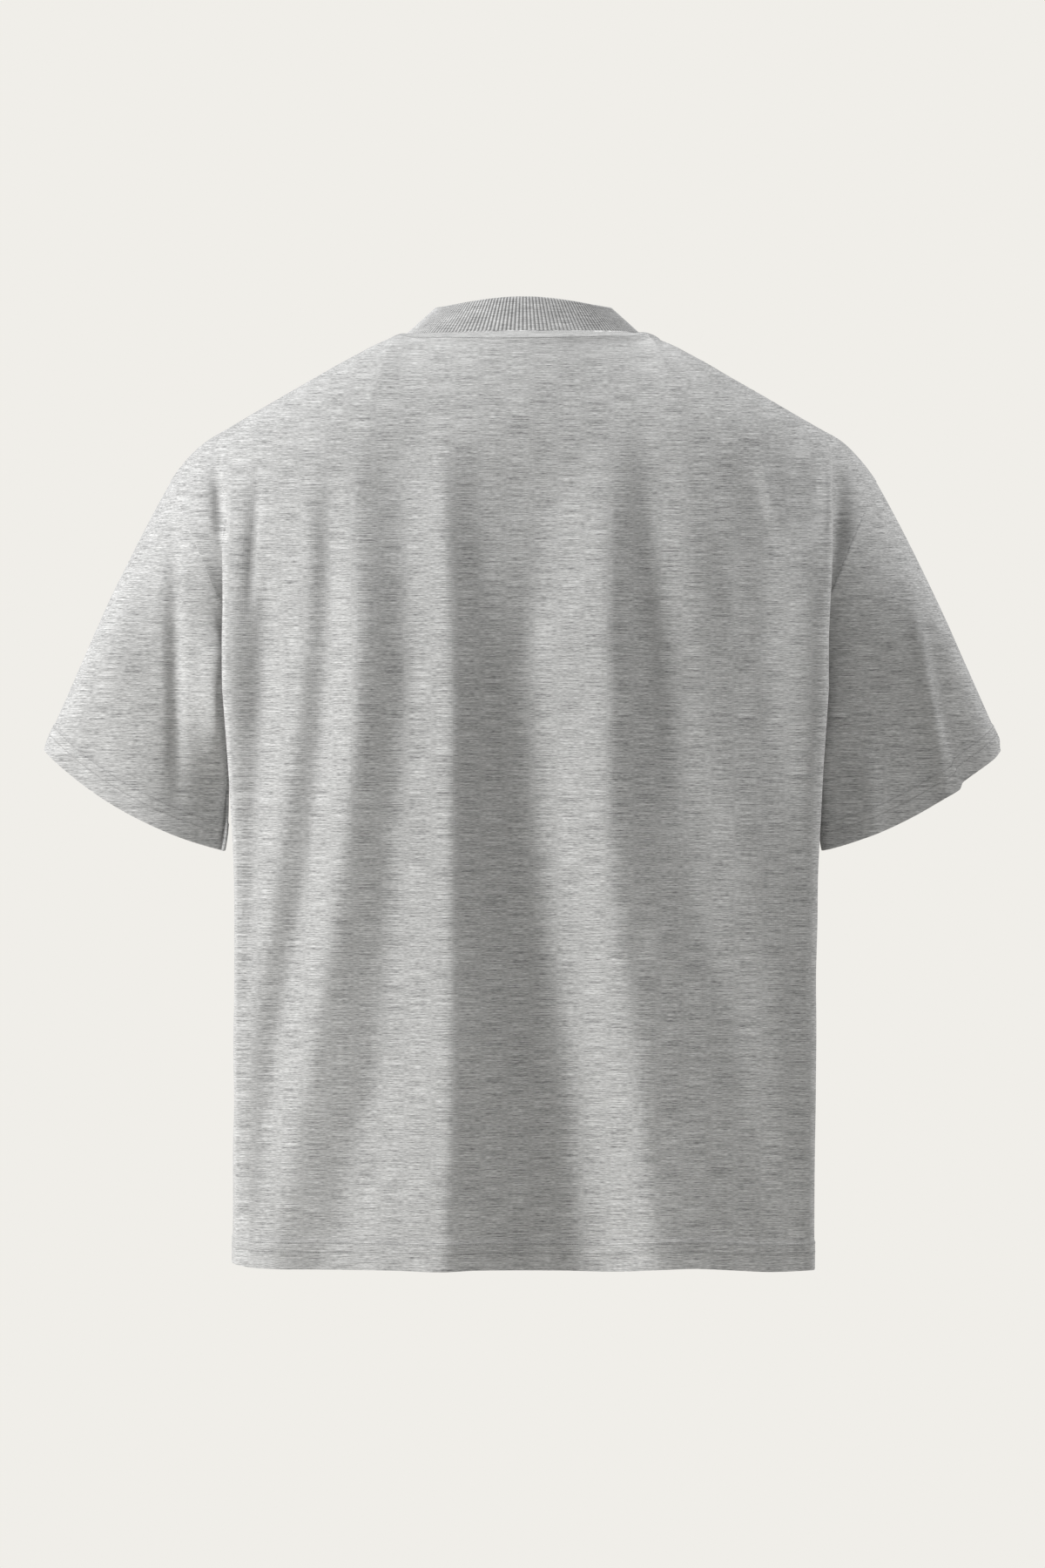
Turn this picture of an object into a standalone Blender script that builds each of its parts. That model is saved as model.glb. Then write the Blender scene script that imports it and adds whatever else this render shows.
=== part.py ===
# High neck t-shirt: a boxy, drop-shoulder jersey shirt with a folded rib collar, in the hollow
# form it has when worn. Tables and shape functions are in millimetres; MM turns them into metres.
# +X is the wearer's left, +Y the back, +Z up. The origin is the middle of the neck at shoulder height,
# where the wearer's neck and shoulders hold the shirt up.

import bmesh
import bpy
import math
import numpy as np

MM = 0.001
CLOTH = 1.5  # wall of the jersey panels
RIB = 3.0  # wall of the rib collar, two layers of rib knit
GAP = 0.4  # between two pieces at a seam; it narrows to 0.3 where their rims lean together
ARMHOLE_GAP = 0.7  # the same round the armhole, where the rims lean together more
NECK_GAP = 0.6  # the same under the collar, where the neckline slopes

# Seam points, as x and z
HEM_Z = -716.0
UNDERARM = (205.0, -270.0)
SHOULDER_TIP = (272.0, -110.0)
ARMHOLE_BACK = 77.0  # how far the armhole loop reaches behind the shoulder line, and before it
ARMHOLE_FRONT = 68.0

# Shoulder seam: its fall for each millimetre out, and the faster fall past the arm's start
SHOULDER_SLOPE = 0.555
ARM_START = 238.0
ARM_ROUNDING = 0.014

# Neck seam, an egg shape lower at the front
NECK_HALF_WIDTH = 88.0
NECK_BACK = 62.0
NECK_FRONT = 80.0
NECK_SIDE_Z = 5.0
NECK_BACK_RISE = 1.0
NECK_FRONT_DROP = 67.0
DROP_POWER = 1.5  # how late the neckline falls towards the front

# Upper edge of the standing collar
COLLAR_HALF_WIDTH = 67.0
COLLAR_BACK = 52.0
COLLAR_FRONT = 60.0
COLLAR_SIDE_Z = 24.0
COLLAR_BACK_RISE = 7.0
COLLAR_FRONT_DROP = 58.0

# Sleeve hem: a flattened ring square to the sleeve, its outer corner and its inner corner as x and z
CUFF_OUTER = (370.0, -316.0)
CUFF_INNER = (229.8, -394.0)
CUFF_DEPTHS = (52.0, 70.0)  # how far the ring reaches behind and before its middle line
CUFF_FORWARD = 3.0
CUFF_FLATNESS = 3.0
SLEEVE_FLATTENS = (0.0, 0.6)  # shares of its length over which the sleeve turns from oval to flat
CUFF_YAW = 26.0  # how far the ring's outer end lies forward of its middle
CUFF_BACK_DIP = 11.0
CUFF_FRONT_DIP = 4.0
SLEEVE_FULLNESS = (28.0, 80.0)  # at the shoulder and under the arm

# Shares of the half panel, from its centre line: neck point and corner fold
NECK_SHARE = 1 / 3
CORNER_SHARE = 0.85
BLEND_SHARE = 0.80  # share where the front starts to bend towards the armhole seam
YOKE_SHARE = 5 / 9  # of a panel's rows, those above the underarm
SHOULDER_SPREAD = 1.15
ARC_POWERS = (0.82, 0.60)  # roundness of the climb to the shoulder, at the centre and at the armhole
LEFT_FOLD_OPENS = (0.15, 0.52)  # shares of the yoke over which each corner fold opens out
RIGHT_FOLD_OPENS = (0.42, 0.78)
SETTLE_END = 115.0  # x at which the shoulder seam has settled onto its straight slope

# Horizontal sections of each panel: height, half width at the corner fold, y of the corner fold,
# y at the centre, roundness of the curve between them, hardness of the fold behind the corner
SECTION_COLUMNS = ("z", "half_width", "corner", "depth", "roundness", "fold")
BACK_SECTIONS = (
    (-716.0, 222.5, 93.0, 127.0, 2.7, 2.0),
    (-560.0, 223.5, 92.0, 126.0, 2.7, 2.0),
    (-400.0, 224.5, 91.0, 125.0, 2.7, 2.5),
    (-330.0, 228.0, 90.0, 124.0, 2.7, 3.6),
    (-270.0, 232.0, 90.0, 123.0, 2.7, 4.0),
)
FRONT_SECTIONS = (
    (-716.0, 223.5, 56.0, 126.0, 2.4, 2.0),
    (-560.0, 221.5, 58.0, 128.0, 2.4, 2.0),
    (-400.0, 213.0, 60.0, 130.0, 2.4, 2.5),
    (-330.0, 210.0, 60.0, 131.0, 2.4, 3.0),
    (-270.0, 213.0, 60.0, 130.0, 2.4, 4.0),
)
SEAM_COLUMNS = ("z", "x")
SIDE_SEAM = (
    (-716.0, 223.0),
    (-600.0, 221.5),
    (-450.0, 214.0),
    (-390.0, 207.0),
    (-330.0, 201.0),
    (-270.0, 205.0),
)

# Large folds, a row for each crest or trough line from one edge of the panel to the other:
# x of the line at five heights, then how far it stands out of the plain panel at those heights
FOLD_HEIGHTS = np.array([-705.0, -560.0, -400.0, -250.0, -120.0])
FOLD_COLUMNS = (
    "x_705", "x_560", "x_400", "x_250", "x_120",
    "out_705", "out_560", "out_400", "out_250", "out_120",
)
BACK_FOLDS = (
    (-230.0, -230.0, -230.0, -232.0, -236.0, 0.0, 0.0, 0.0, 0.0, 0.0),
    (-216.0, -214.0, -206.0, -188.0, -194.0, -6.0, -5.0, -4.0, -10.0, -8.0),
    (-190.0, -165.0, -124.0, -102.0, -92.0, -9.0, -7.0, -6.0, -11.0, -6.0),
    (-100.0, -87.0, -68.0, -68.0, -68.0, 3.0, 5.0, 8.0, 8.0, 4.0),
    (-42.0, -30.0, -11.0, -2.0, -22.0, -20.0, -17.0, -15.0, -11.0, -7.0),
    (60.0, 55.0, 55.0, 54.0, 60.0, 16.0, 15.0, 11.0, 10.0, 4.0),
    (150.0, 114.0, 100.0, 88.0, 94.0, -5.0, -4.0, -1.0, -1.0, -5.0),
    (190.0, 163.0, 137.0, 125.0, 127.0, -1.0, 3.0, 8.0, 9.0, 1.0),
    (206.0, 193.0, 165.0, 151.0, 150.0, -3.0, -9.0, -5.0, -5.0, -3.0),
    (217.0, 214.0, 208.0, 203.0, 202.0, -5.0, -6.0, -9.0, -14.0, -7.0),
    (230.0, 230.0, 230.0, 232.0, 236.0, 0.0, 0.0, 0.0, 0.0, 0.0),
)
FRONT_FOLDS = (
    (-218.0, -216.0, -214.0, -214.0, -214.0, 0.0, 0.0, 0.0, 0.0, 0.0),
    (-202.0, -192.0, -182.0, -174.0, -170.0, -1.5, -3.0, -4.5, -3.0, -1.5),
    (-172.0, -150.0, -136.0, -126.0, -120.0, 3.0, 5.0, 6.5, 5.5, 2.5),
    (-122.0, -108.0, -96.0, -88.0, -84.0, -5.0, -4.5, -4.0, -3.0, -1.5),
    (-78.0, -66.0, -54.0, -47.0, -46.0, 13.0, 12.0, 9.5, 6.5, 2.5),
    (-12.0, -8.0, -1.0, 3.0, 4.0, -15.0, -13.5, -11.5, -8.0, -2.5),
    (50.0, 52.0, 53.0, 55.0, 58.0, 12.0, 9.5, 8.0, 6.5, 4.0),
    (116.0, 111.0, 104.0, 96.0, 92.0, -8.0, -6.0, -3.5, -2.0, -1.5),
    (170.0, 159.0, 147.0, 134.0, 128.0, 5.0, 6.5, 6.0, 4.5, 2.5),
    (202.0, 195.0, 185.0, 173.0, 168.0, -1.5, -3.0, -4.5, -3.5, -1.5),
    (218.0, 216.0, 214.0, 214.0, 214.0, 0.0, 0.0, 0.0, 0.0, 0.0),
)
FOLD_TOP = (-130.0, -60.0)  # heights between which the folds die away towards the shoulders
FOLD_SHARE = 0.78  # share of the half panel where the folds start to die away
TINY = 1e-6
MERGE = 0.00005  # in metres
GRID_DIGITS = 6

# Mesh lines: across a panel, up a panel, round and along a sleeve, round and up the collar.
# A narrow strip beside each seam keeps the cut edges of two pieces face to face.
SHOULDER_COLUMNS = np.append(np.linspace(NECK_SHARE, 1.0, 13)[1:], 0.985)
NECK_COLUMNS = np.linspace(-NECK_SHARE, NECK_SHARE, 19)
PANEL_COLUMNS = np.sort(np.concatenate([-SHOULDER_COLUMNS, NECK_COLUMNS, SHOULDER_COLUMNS]))
PANEL_ROWS = np.sort(np.append(np.linspace(0.0, 1.0, 19), 0.995))
ARMHOLE_ROWS = np.maximum((PANEL_ROWS[PANEL_ROWS > 1 - YOKE_SHARE - TINY] - 1) / YOKE_SHARE + 1, 0.0)
SLEEVE_COLUMNS = np.concatenate([-ARMHOLE_ROWS[:0:-1], ARMHOLE_ROWS])
SLEEVE_ROWS = np.sort(np.append(np.linspace(0.0, 1.0, 9), 0.03))
COLLAR_COLUMNS = np.linspace(-1.0, 1.0, 2 * len(NECK_COLUMNS) - 1)
COLLAR_ROWS = np.linspace(0.0, 1.0, 4)

JERSEY_GREY = (0.42, 0.42, 0.42, 1.0)
RIB_GREY = (0.40, 0.40, 0.40, 1.0)
JERSEY_ROUGHNESS = 0.92
RIB_ROUGHNESS = 0.88


def column(table, names, wanted):
    """One named column of a table, from its lowest height to its highest."""
    place = names.index(wanted)
    return np.array([row[place] for row in table])


def smooth_through(heights, values, z):
    """A smooth curve through the values at the given heights, read at z."""
    slopes = np.gradient(values, heights)
    low = np.clip(np.searchsorted(heights, z) - 1, 0, len(heights) - 2)
    span = heights[low + 1] - heights[low]
    t = np.clip((z - heights[low]) / span, 0.0, 1.0)
    start = (1 + 2 * t) * (1 - t) ** 2 * values[low] + t * (1 - t) ** 2 * span * slopes[low]
    end = t * t * (3 - 2 * t) * values[low + 1] + t * t * (t - 1) * span * slopes[low + 1]
    return start + end


def ramp(value, low, high):
    """Soft step from 0 at low to 1 at high."""
    t = np.clip((value - low) / (high - low), 0.0, 1.0)
    return t * t * (3 - 2 * t)


def flattened(value, flatness):
    """A sine or cosine eased towards its ends, which turns an oval into a flatter loop."""
    return (1 + flatness) * value / (1 + flatness * np.abs(value))


def shoulder_z(x):
    """Height of the shoulder seam at x: a straight slope that rounds off over the arm."""
    tip_x, tip_z = SHOULDER_TIP
    rounding = (tip_x - ARM_START) ** 2 - np.maximum(0.0, x - ARM_START) ** 2
    return tip_z + SHOULDER_SLOPE * (tip_x - x) + ARM_ROUNDING * rounding


def neck_point(angle, back):
    """The neck seam at an angle from the wearer's side; back is true for its back half."""
    side = np.cos(angle)
    away = np.abs(np.sin(angle))
    y = np.where(back, NECK_BACK, -NECK_FRONT) * away
    z = NECK_SIDE_Z + np.where(back, NECK_BACK_RISE * away, -NECK_FRONT_DROP * away**DROP_POWER)
    return NECK_HALF_WIDTH * side, y, z


def collar_point(angle, back):
    """The collar's upper edge at an angle from the wearer's side."""
    side = np.cos(angle)
    away = np.abs(np.sin(angle))
    y = np.where(back, COLLAR_BACK, -COLLAR_FRONT) * away
    z = COLLAR_SIDE_Z + np.where(back, COLLAR_BACK_RISE * away**2, -COLLAR_FRONT_DROP * away**DROP_POWER)
    return COLLAR_HALF_WIDTH * side, y, z


def armhole_point(angle, side):
    """The armhole seam; angle 0 is the shoulder tip and pi the underarm, side is 1 or -1."""
    middle_x = (SHOULDER_TIP[0] + UNDERARM[0]) / 2
    middle_z = (SHOULDER_TIP[1] + UNDERARM[1]) / 2
    x = middle_x + (SHOULDER_TIP[0] - middle_x) * np.cos(angle)
    z = middle_z + (SHOULDER_TIP[1] - middle_z) * np.cos(angle)
    around = np.sin(angle)
    return side * x, np.where(around > 0, ARMHOLE_BACK, ARMHOLE_FRONT) * around, z


def armhole_axis(side):
    """Unit direction out through the armhole."""
    run = SHOULDER_TIP[0] - UNDERARM[0]
    rise = SHOULDER_TIP[1] - UNDERARM[1]
    length = math.hypot(run, rise)
    return side * rise / length, 0.0, -run / length


def panel_section(u, z, sections, open_up):
    """A panel's horizontal section: x and depth at share u of its half width, at height z.

    Where open_up is 1 the fold at the corner lies open, and the cloth runs straight to the seam."""
    heights = column(sections, SECTION_COLUMNS, "z")
    width, corner, depth, roundness, fold = (
        smooth_through(heights, column(sections, SECTION_COLUMNS, name), z)
        for name in SECTION_COLUMNS[1:]
    )
    seam_heights = column(SIDE_SEAM, SEAM_COLUMNS, "z")
    seam = smooth_through(seam_heights, column(SIDE_SEAM, SEAM_COLUMNS, "x"), z)
    across = np.sin(np.pi / 2 * np.minimum(np.abs(u) / CORNER_SHARE, 1.0))
    arc = (1 - across**roundness) ** (1 / roundness)
    behind = np.clip((np.abs(u) - CORNER_SHARE) / (1 - CORNER_SHARE), 0.0, 1.0)
    fold = fold + (1 - fold) * open_up
    x = width * across - (width - seam) * (1 - (1 - behind) ** fold)
    y = corner + (depth - corner) * arc - corner * behind
    return np.sign(u) * x, y


def panel_surface(u, v, side, sections):
    """Points of a whole panel: u from -1 to 1 across it, v from 0 at the hem to 1 at the shoulder."""
    lower = np.minimum(v / (1 - YOKE_SHARE), 1.0)
    z = HEM_Z + (UNDERARM[1] - HEM_Z) * lower
    rise = np.clip((v - 1 + YOKE_SHARE) / YOKE_SHARE, 0.0, 1.0)
    left = -side * u > 0
    opens = np.where(left, ramp(rise, *LEFT_FOLD_OPENS), ramp(rise, *RIGHT_FOLD_OPENS))
    x, y = panel_section(u, z, sections, opens)

    # Upper edge: half the neck seam, then the shoulder seam out to the shoulder tip
    out = np.clip((np.abs(u) - NECK_SHARE) / (1 - NECK_SHARE), 0.0, 1.0)
    angle = np.pi / 2 * (1 - np.minimum(np.abs(u) / NECK_SHARE, 1.0))
    neck_x, neck_y, neck_z = neck_point(angle, side > 0)
    reach = SHOULDER_TIP[0] - NECK_HALF_WIDTH
    shoulder_x = NECK_HALF_WIDTH + reach * (1 - (1 - out) ** SHOULDER_SPREAD)
    step = NECK_SIDE_Z - shoulder_z(NECK_HALF_WIDTH)
    settle = step * (1 - ramp(shoulder_x, NECK_HALF_WIDTH, SETTLE_END))
    top_x = np.sign(u) * np.where(out > 0, shoulder_x, neck_x)
    top_y = np.where(out > 0, 0.0, np.abs(neck_y))
    top_z = np.where(out > 0, shoulder_z(shoulder_x) + settle, neck_z)

    # Each column climbs a rounded arc from the chest to the upper edge
    power = ARC_POWERS[0] + (ARC_POWERS[1] - ARC_POWERS[0]) * np.abs(u)
    turn = np.arccos(np.clip(top_y / np.maximum(y, TINY), 0.0, 1.0) ** (1 / power))
    turned = turn * rise
    climb = np.sin(turned) / np.sin(turn)
    x = x + (top_x - x) * (1 - np.cos(np.pi / 2 * rise))
    y = y * np.cos(turned) ** power
    y = np.where((rise >= 1.0) & (out > 0), 0.0, y)
    z = z + (top_z - z) * np.where(rise > 0, climb, 0.0)

    # Towards the sleeve the columns bend to the armhole seam
    plain_x = UNDERARM[0] + (SHOULDER_TIP[0] - UNDERARM[0]) * (1 - np.cos(np.pi / 2 * rise))
    plain_z = UNDERARM[1] + (SHOULDER_TIP[1] - UNDERARM[1]) * np.sin(np.pi / 2 * rise)
    seam_x, seam_y, seam_z = armhole_point(side * np.pi * (1 - rise), 1)
    if side > 0:
        near = np.clip((np.abs(u) - CORNER_SHARE) / (1 - CORNER_SHARE), 0.0, 1.0)
    else:
        near = ramp(np.abs(u), BLEND_SHARE, 1.0)
    near = near * (rise > 0)
    x = x + np.sign(u) * near * (seam_x - plain_x)
    y = y + near * side * seam_y
    z = z + near * (seam_z - plain_z)

    # Across the back x falls as u grows, so that every face looks out of the shirt
    return np.stack([-side * x, side * y, z], axis=-1)


def surface_normals(points):
    """Unit normals of a grid of points, out of the shirt."""
    normal = np.cross(np.gradient(points, axis=1), np.gradient(points, axis=0))
    return normal / np.maximum(np.linalg.norm(normal, axis=-1, keepdims=True), TINY)


def fold_line(row, wanted, z):
    """Where a fold line runs, x, or how far it stands, out, at height z."""
    places = [FOLD_COLUMNS.index(f"{wanted}_{round(-height)}") for height in FOLD_HEIGHTS]
    return smooth_through(FOLD_HEIGHTS, np.array([row[place] for place in places]), z)


def fold_offset(points, folds, share):
    """Distance by which the large folds stand out of a panel at its points."""
    x = points[..., 0]
    z = points[..., 2]
    lines = []
    for row in folds:
        lines.append((fold_line(row, "x", z), fold_line(row, "out", z)))
    total = np.zeros_like(x)
    for (low_x, low_out), (high_x, high_out) in zip(lines, lines[1:]):
        inside = (x >= low_x) & (x < high_x)
        total = np.where(inside, low_out + (high_out - low_out) * ramp(x, low_x, high_x), total)
    return total * (1 - ramp(z, *FOLD_TOP)) * (1 - ramp(np.abs(share), FOLD_SHARE, CORNER_SHARE))


def grid_object(name, columns, rows, shape, wall, material, closed_round=False):
    """A sheet of cloth: a flat grid laid onto a surface, then given its wall on the inner side."""
    mesh = bpy.data.meshes.new(name)
    sheet = bmesh.new()
    bmesh.ops.create_grid(sheet, x_segments=len(columns) - 1, y_segments=len(rows) - 1, size=1.0)
    u, v = np.meshgrid(columns, rows)
    points = shape(u, v).reshape(-1, 3)
    place_in_grid = lambda vert: (round(vert.co.y, GRID_DIGITS), round(vert.co.x, GRID_DIGITS))
    order = sorted(sheet.verts, key=place_in_grid)
    for vert, place in zip(order, points):
        vert.co = place * MM
    if closed_round:
        bmesh.ops.remove_doubles(sheet, verts=sheet.verts, dist=MERGE)
    for face in sheet.faces:
        face.smooth = True
    sheet.to_mesh(mesh)
    sheet.free()
    made = bpy.data.objects.new(name, mesh)
    shirt.objects.link(made)
    mesh.materials.append(material)
    thickness = made.modifiers.new("cloth wall", "SOLIDIFY")
    thickness.thickness = wall * MM
    thickness.offset = -1.0
    thickness.use_even_offset = True
    thickness.use_quality_normals = True
    return made


def cloth_material(name, colour, roughness):
    """A matt knitted cloth."""
    material = bpy.data.materials.new(name)
    material.use_nodes = True
    surface = material.node_tree.nodes["Principled BSDF"]
    surface.inputs["Base Color"].default_value = colour
    surface.inputs["Roughness"].default_value = roughness
    surface.inputs["Metallic"].default_value = 0.0
    material.diffuse_color = colour
    return material


def seam_clearance(points, u, v, side):
    """Draw a panel back from its seams by half the gap each."""
    points = points.copy()
    lower = v <= 1 - YOKE_SHARE + TINY
    edge = np.abs(u) > 1 - TINY
    shoulder = (v > 1 - TINY) & (np.abs(u) >= NECK_SHARE - TINY)
    points[..., 1] += np.where((edge & lower) | shoulder, side * GAP / 2, 0.0)
    for arm in (1, -1):
        axis = np.array(armhole_axis(arm))
        here = edge & (v >= 1 - YOKE_SHARE - TINY) & (np.sign(points[..., 0]) == arm)
        points -= np.where(here[..., None], axis * ARMHOLE_GAP / 2, 0.0)
    return points


def build_panel(name, side, sections, folds):
    """Front or back: side is 1 for the back and -1 for the front."""

    def shape(u, v):
        points = panel_surface(u, v, side, sections)
        stand = fold_offset(points, folds, u)
        points = points + surface_normals(points) * stand[..., None]
        return seam_clearance(points, u, v, side)

    material = cloth_material(name + "_jersey", JERSEY_GREY, JERSEY_ROUGHNESS)
    return grid_object(name, PANEL_COLUMNS, PANEL_ROWS, shape, CLOTH, material)


def build_sleeve(name, side):
    """A short wide sleeve: straight lines from the armhole seam to the hem ring, fuller under the arm."""
    middle = (np.array(CUFF_OUTER) + np.array(CUFF_INNER)) / 2
    half = (np.array(CUFF_OUTER) - np.array(CUFF_INNER)) / 2
    length = math.hypot(half[0], half[1])
    down = np.array([half[1], -half[0]]) / length

    def shape(u, v):
        angle = -side * np.pi * (u + 1)
        start = np.stack(armhole_point(angle, side), axis=-1)
        start = start + np.array(armhole_axis(side)) * ARMHOLE_GAP / 2
        around = flattened(np.sin(angle), CUFF_FLATNESS)
        outer = flattened(np.cos(angle), CUFF_FLATNESS)
        dip = np.where(around > 0, CUFF_BACK_DIP, CUFF_FRONT_DIP) * (1 - outer**2)
        cuff_x = middle[0] + half[0] * outer + down[0] * dip
        cuff_z = middle[1] + half[1] * outer + down[1] * dip
        reach = np.where(around > 0, CUFF_DEPTHS[0], CUFF_DEPTHS[1])
        cuff_y = reach * around - CUFF_FORWARD - CUFF_YAW * outer
        end = np.stack([side * cuff_x, cuff_y, cuff_z], axis=-1)
        along = v[..., None]
        under = (1 - np.cos(angle)) / 2
        fullness = SLEEVE_FULLNESS[0] * (1 - under) + SLEEVE_FULLNESS[1] * under
        swell = (fullness * v * (1 - v) ** 2)[..., None] * np.array(armhole_axis(side))
        boxy = ramp(v, *SLEEVE_FLATTENS) - v
        plump = (outer - np.cos(angle)) * boxy
        squared_y = reach * (around - np.sin(angle)) * boxy
        squared = np.stack([side * half[0] * plump, squared_y, half[1] * plump], axis=-1)
        return start + (end - start) * along + swell + squared

    material = cloth_material(name + "_jersey", JERSEY_GREY, JERSEY_ROUGHNESS)
    return grid_object(name, SLEEVE_COLUMNS, SLEEVE_ROWS, shape, CLOTH, material, closed_round=True)


def build_collar(name):
    """The standing collar, a ring of rib knit that leans in from the neck seam."""

    def shape(u, v):
        angle = np.pi * (u + 1)
        back = np.sin(angle) > 0
        start = np.stack(neck_point(angle, back), axis=-1)
        end = np.stack(collar_point(angle, back), axis=-1)
        start[..., 2] += NECK_GAP
        return start + (end - start) * v[..., None]

    material = cloth_material(name + "_knit", RIB_GREY, RIB_ROUGHNESS)
    return grid_object(name, COLLAR_COLUMNS, COLLAR_ROWS, shape, RIB, material, closed_round=True)


for old in list(bpy.data.objects):
    bpy.data.objects.remove(old, do_unlink=True)

shirt = bpy.data.collections.new("high_neck_t_shirt")
bpy.context.scene.collection.children.link(shirt)

build_panel("back_panel", 1, BACK_SECTIONS, BACK_FOLDS)
build_panel("front_panel", -1, FRONT_SECTIONS, FRONT_FOLDS)
build_sleeve("sleeve_left", 1)
build_sleeve("sleeve_right", -1)
build_collar("neck_rib")
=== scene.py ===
import math

import bmesh
import bpy
import numpy as np
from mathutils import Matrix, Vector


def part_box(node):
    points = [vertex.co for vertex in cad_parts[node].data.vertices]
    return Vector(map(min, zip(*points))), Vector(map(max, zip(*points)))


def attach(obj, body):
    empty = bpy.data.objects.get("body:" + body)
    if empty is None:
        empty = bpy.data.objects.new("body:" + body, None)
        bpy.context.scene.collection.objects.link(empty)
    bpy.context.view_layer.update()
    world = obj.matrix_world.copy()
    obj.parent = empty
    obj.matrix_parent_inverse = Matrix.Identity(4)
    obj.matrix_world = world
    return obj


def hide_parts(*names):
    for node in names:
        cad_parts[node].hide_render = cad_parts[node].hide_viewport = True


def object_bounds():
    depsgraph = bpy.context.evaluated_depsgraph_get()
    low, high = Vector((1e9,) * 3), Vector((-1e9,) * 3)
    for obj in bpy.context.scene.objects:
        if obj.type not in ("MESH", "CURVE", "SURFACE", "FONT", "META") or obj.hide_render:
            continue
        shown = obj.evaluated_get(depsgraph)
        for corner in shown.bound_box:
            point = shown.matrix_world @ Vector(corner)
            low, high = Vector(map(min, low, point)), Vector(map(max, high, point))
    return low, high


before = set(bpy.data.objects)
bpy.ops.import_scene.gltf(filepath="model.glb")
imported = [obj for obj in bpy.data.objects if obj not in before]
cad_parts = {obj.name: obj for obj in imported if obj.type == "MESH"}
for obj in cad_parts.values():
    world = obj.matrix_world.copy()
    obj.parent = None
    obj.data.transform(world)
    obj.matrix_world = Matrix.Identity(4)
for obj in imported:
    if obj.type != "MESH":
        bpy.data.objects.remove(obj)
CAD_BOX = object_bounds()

# High neck t-shirt in heather grey cotton jersey, in the hollow form it has when worn.
# Shapes are in millimetres, in the frame of the CAD: +X the wearer's left, +Y the back, +Z up.

# ------------------------------
# Back panel: one piece of single jersey from the hem to the shoulder seams, sewn to the front at
# the sides and to the sleeves at the armholes. It hangs from the shoulder blades in long folds.
# Its hem is turned up 20 mm, and the neck seam allowance is topstitched down and stands proud.
# ------------------------------
MM = 0.001
back_low, back_high = (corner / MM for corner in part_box("back_panel"))
sleeve_low, sleeve_high = (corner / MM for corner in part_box("sleeve_left"))

HEM_LIFT = 3.4  # the finished cloth ends this much above its plain solid
HEM_Z = back_low.z + HEM_LIFT
UNDERARM = (sleeve_low.x, -270.0)
SHOULDER_TIP = (back_high.x, sleeve_high.z)
ARMHOLE_DEPTHS = (77.0, 68.0)  # how far the armhole seam bows out behind and in front
SHOULDER_SLOPE = 0.555
ARM_START = 238.0  # x from which the shoulder rounds off over the arm
ARM_ROUNDING = 0.014
NECK_HALF_WIDTH = 88.0
NECK_BACK = 62.0
NECK_FRONT = 80.0
NECK_SIDE_Z = 5.0
NECK_BACK_RISE = 1.0
NECK_FRONT_DROP = 67.0
DROP_POWER = 1.5  # how late the neckline falls towards the front

NECK_SHARE = 1 / 3  # shares of the half panel, from its centre line
CORNER_SHARE = 0.85
BLEND_SHARE = 0.80  # beyond it the front panel bends to the armhole seam
YOKE_SHARE = 5 / 9  # of a panel's rows, those above the underarm
SHOULDER_SPREAD = 1.15  # above 1, the columns lie closer towards the shoulder tip
ARC_POWERS = (0.82, 0.60)  # how round the climb to the shoulder is, at the centre and at the seam
SETTLE_END = 115.0  # x at which the shoulder seam has left the height of the neck
LEFT_FOLD_OPENS = (0.15, 0.52)  # shares of the yoke over which each corner fold opens out
RIGHT_FOLD_OPENS = (0.42, 0.78)
TINY = 1e-6

# Level sections of the panel: height, half width, depth at the corner fold and in the middle, how
# square the curve between them is, and how sharply the cloth turns back at the fold
BACK_SECTIONS = (
    (-716.0, 222.5, 93.0, 127.0, 2.7, 2.0),
    (-560.0, 223.5, 92.0, 126.0, 2.7, 2.0),
    (-400.0, 224.5, 91.0, 125.0, 2.7, 2.5),
    (-330.0, 228.0, 90.0, 124.0, 2.7, 3.6),
    (-270.0, 232.0, 90.0, 123.0, 2.7, 4.0),
)
SIDE_SEAM = (  # height and x
    (-716.0, 223.0),
    (-600.0, 221.5),
    (-450.0, 214.0),
    (-390.0, 207.0),
    (-330.0, 201.0),
    (-270.0, 205.0),
)


def smooth_through(heights, values, z):
    """A smooth curve through the values at the given heights, read at z."""
    slopes = np.gradient(values, heights)
    low = np.clip(np.searchsorted(heights, z) - 1, 0, len(heights) - 2)
    span = heights[low + 1] - heights[low]
    t = np.clip((z - heights[low]) / span, 0.0, 1.0)
    start = (1 + 2 * t) * (1 - t) ** 2 * values[low] + t * (1 - t) ** 2 * span * slopes[low]
    end = t * t * (3 - 2 * t) * values[low + 1] + t * t * (t - 1) * span * slopes[low + 1]
    return start + end


def ramp(value, low, high):
    """Soft step from 0 at low to 1 at high."""
    t = np.clip((value - low) / (high - low), 0.0, 1.0)
    return t * t * (3 - 2 * t)


def shoulder_z(x):
    """Height of the shoulder seam at x: a straight slope that rounds off over the arm."""
    tip_x, tip_z = SHOULDER_TIP
    rounding = (tip_x - ARM_START) ** 2 - np.maximum(0.0, x - ARM_START) ** 2
    return tip_z + SHOULDER_SLOPE * (tip_x - x) + ARM_ROUNDING * rounding


def neck_point(angle, back):
    """The neck seam at an angle from the wearer's side; back is true for its back half."""
    side = np.cos(angle)
    away = np.abs(np.sin(angle))
    y = np.where(back, NECK_BACK, -NECK_FRONT) * away
    z = NECK_SIDE_Z + np.where(back, NECK_BACK_RISE * away, -NECK_FRONT_DROP * away**DROP_POWER)
    return NECK_HALF_WIDTH * side, y, z


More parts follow.
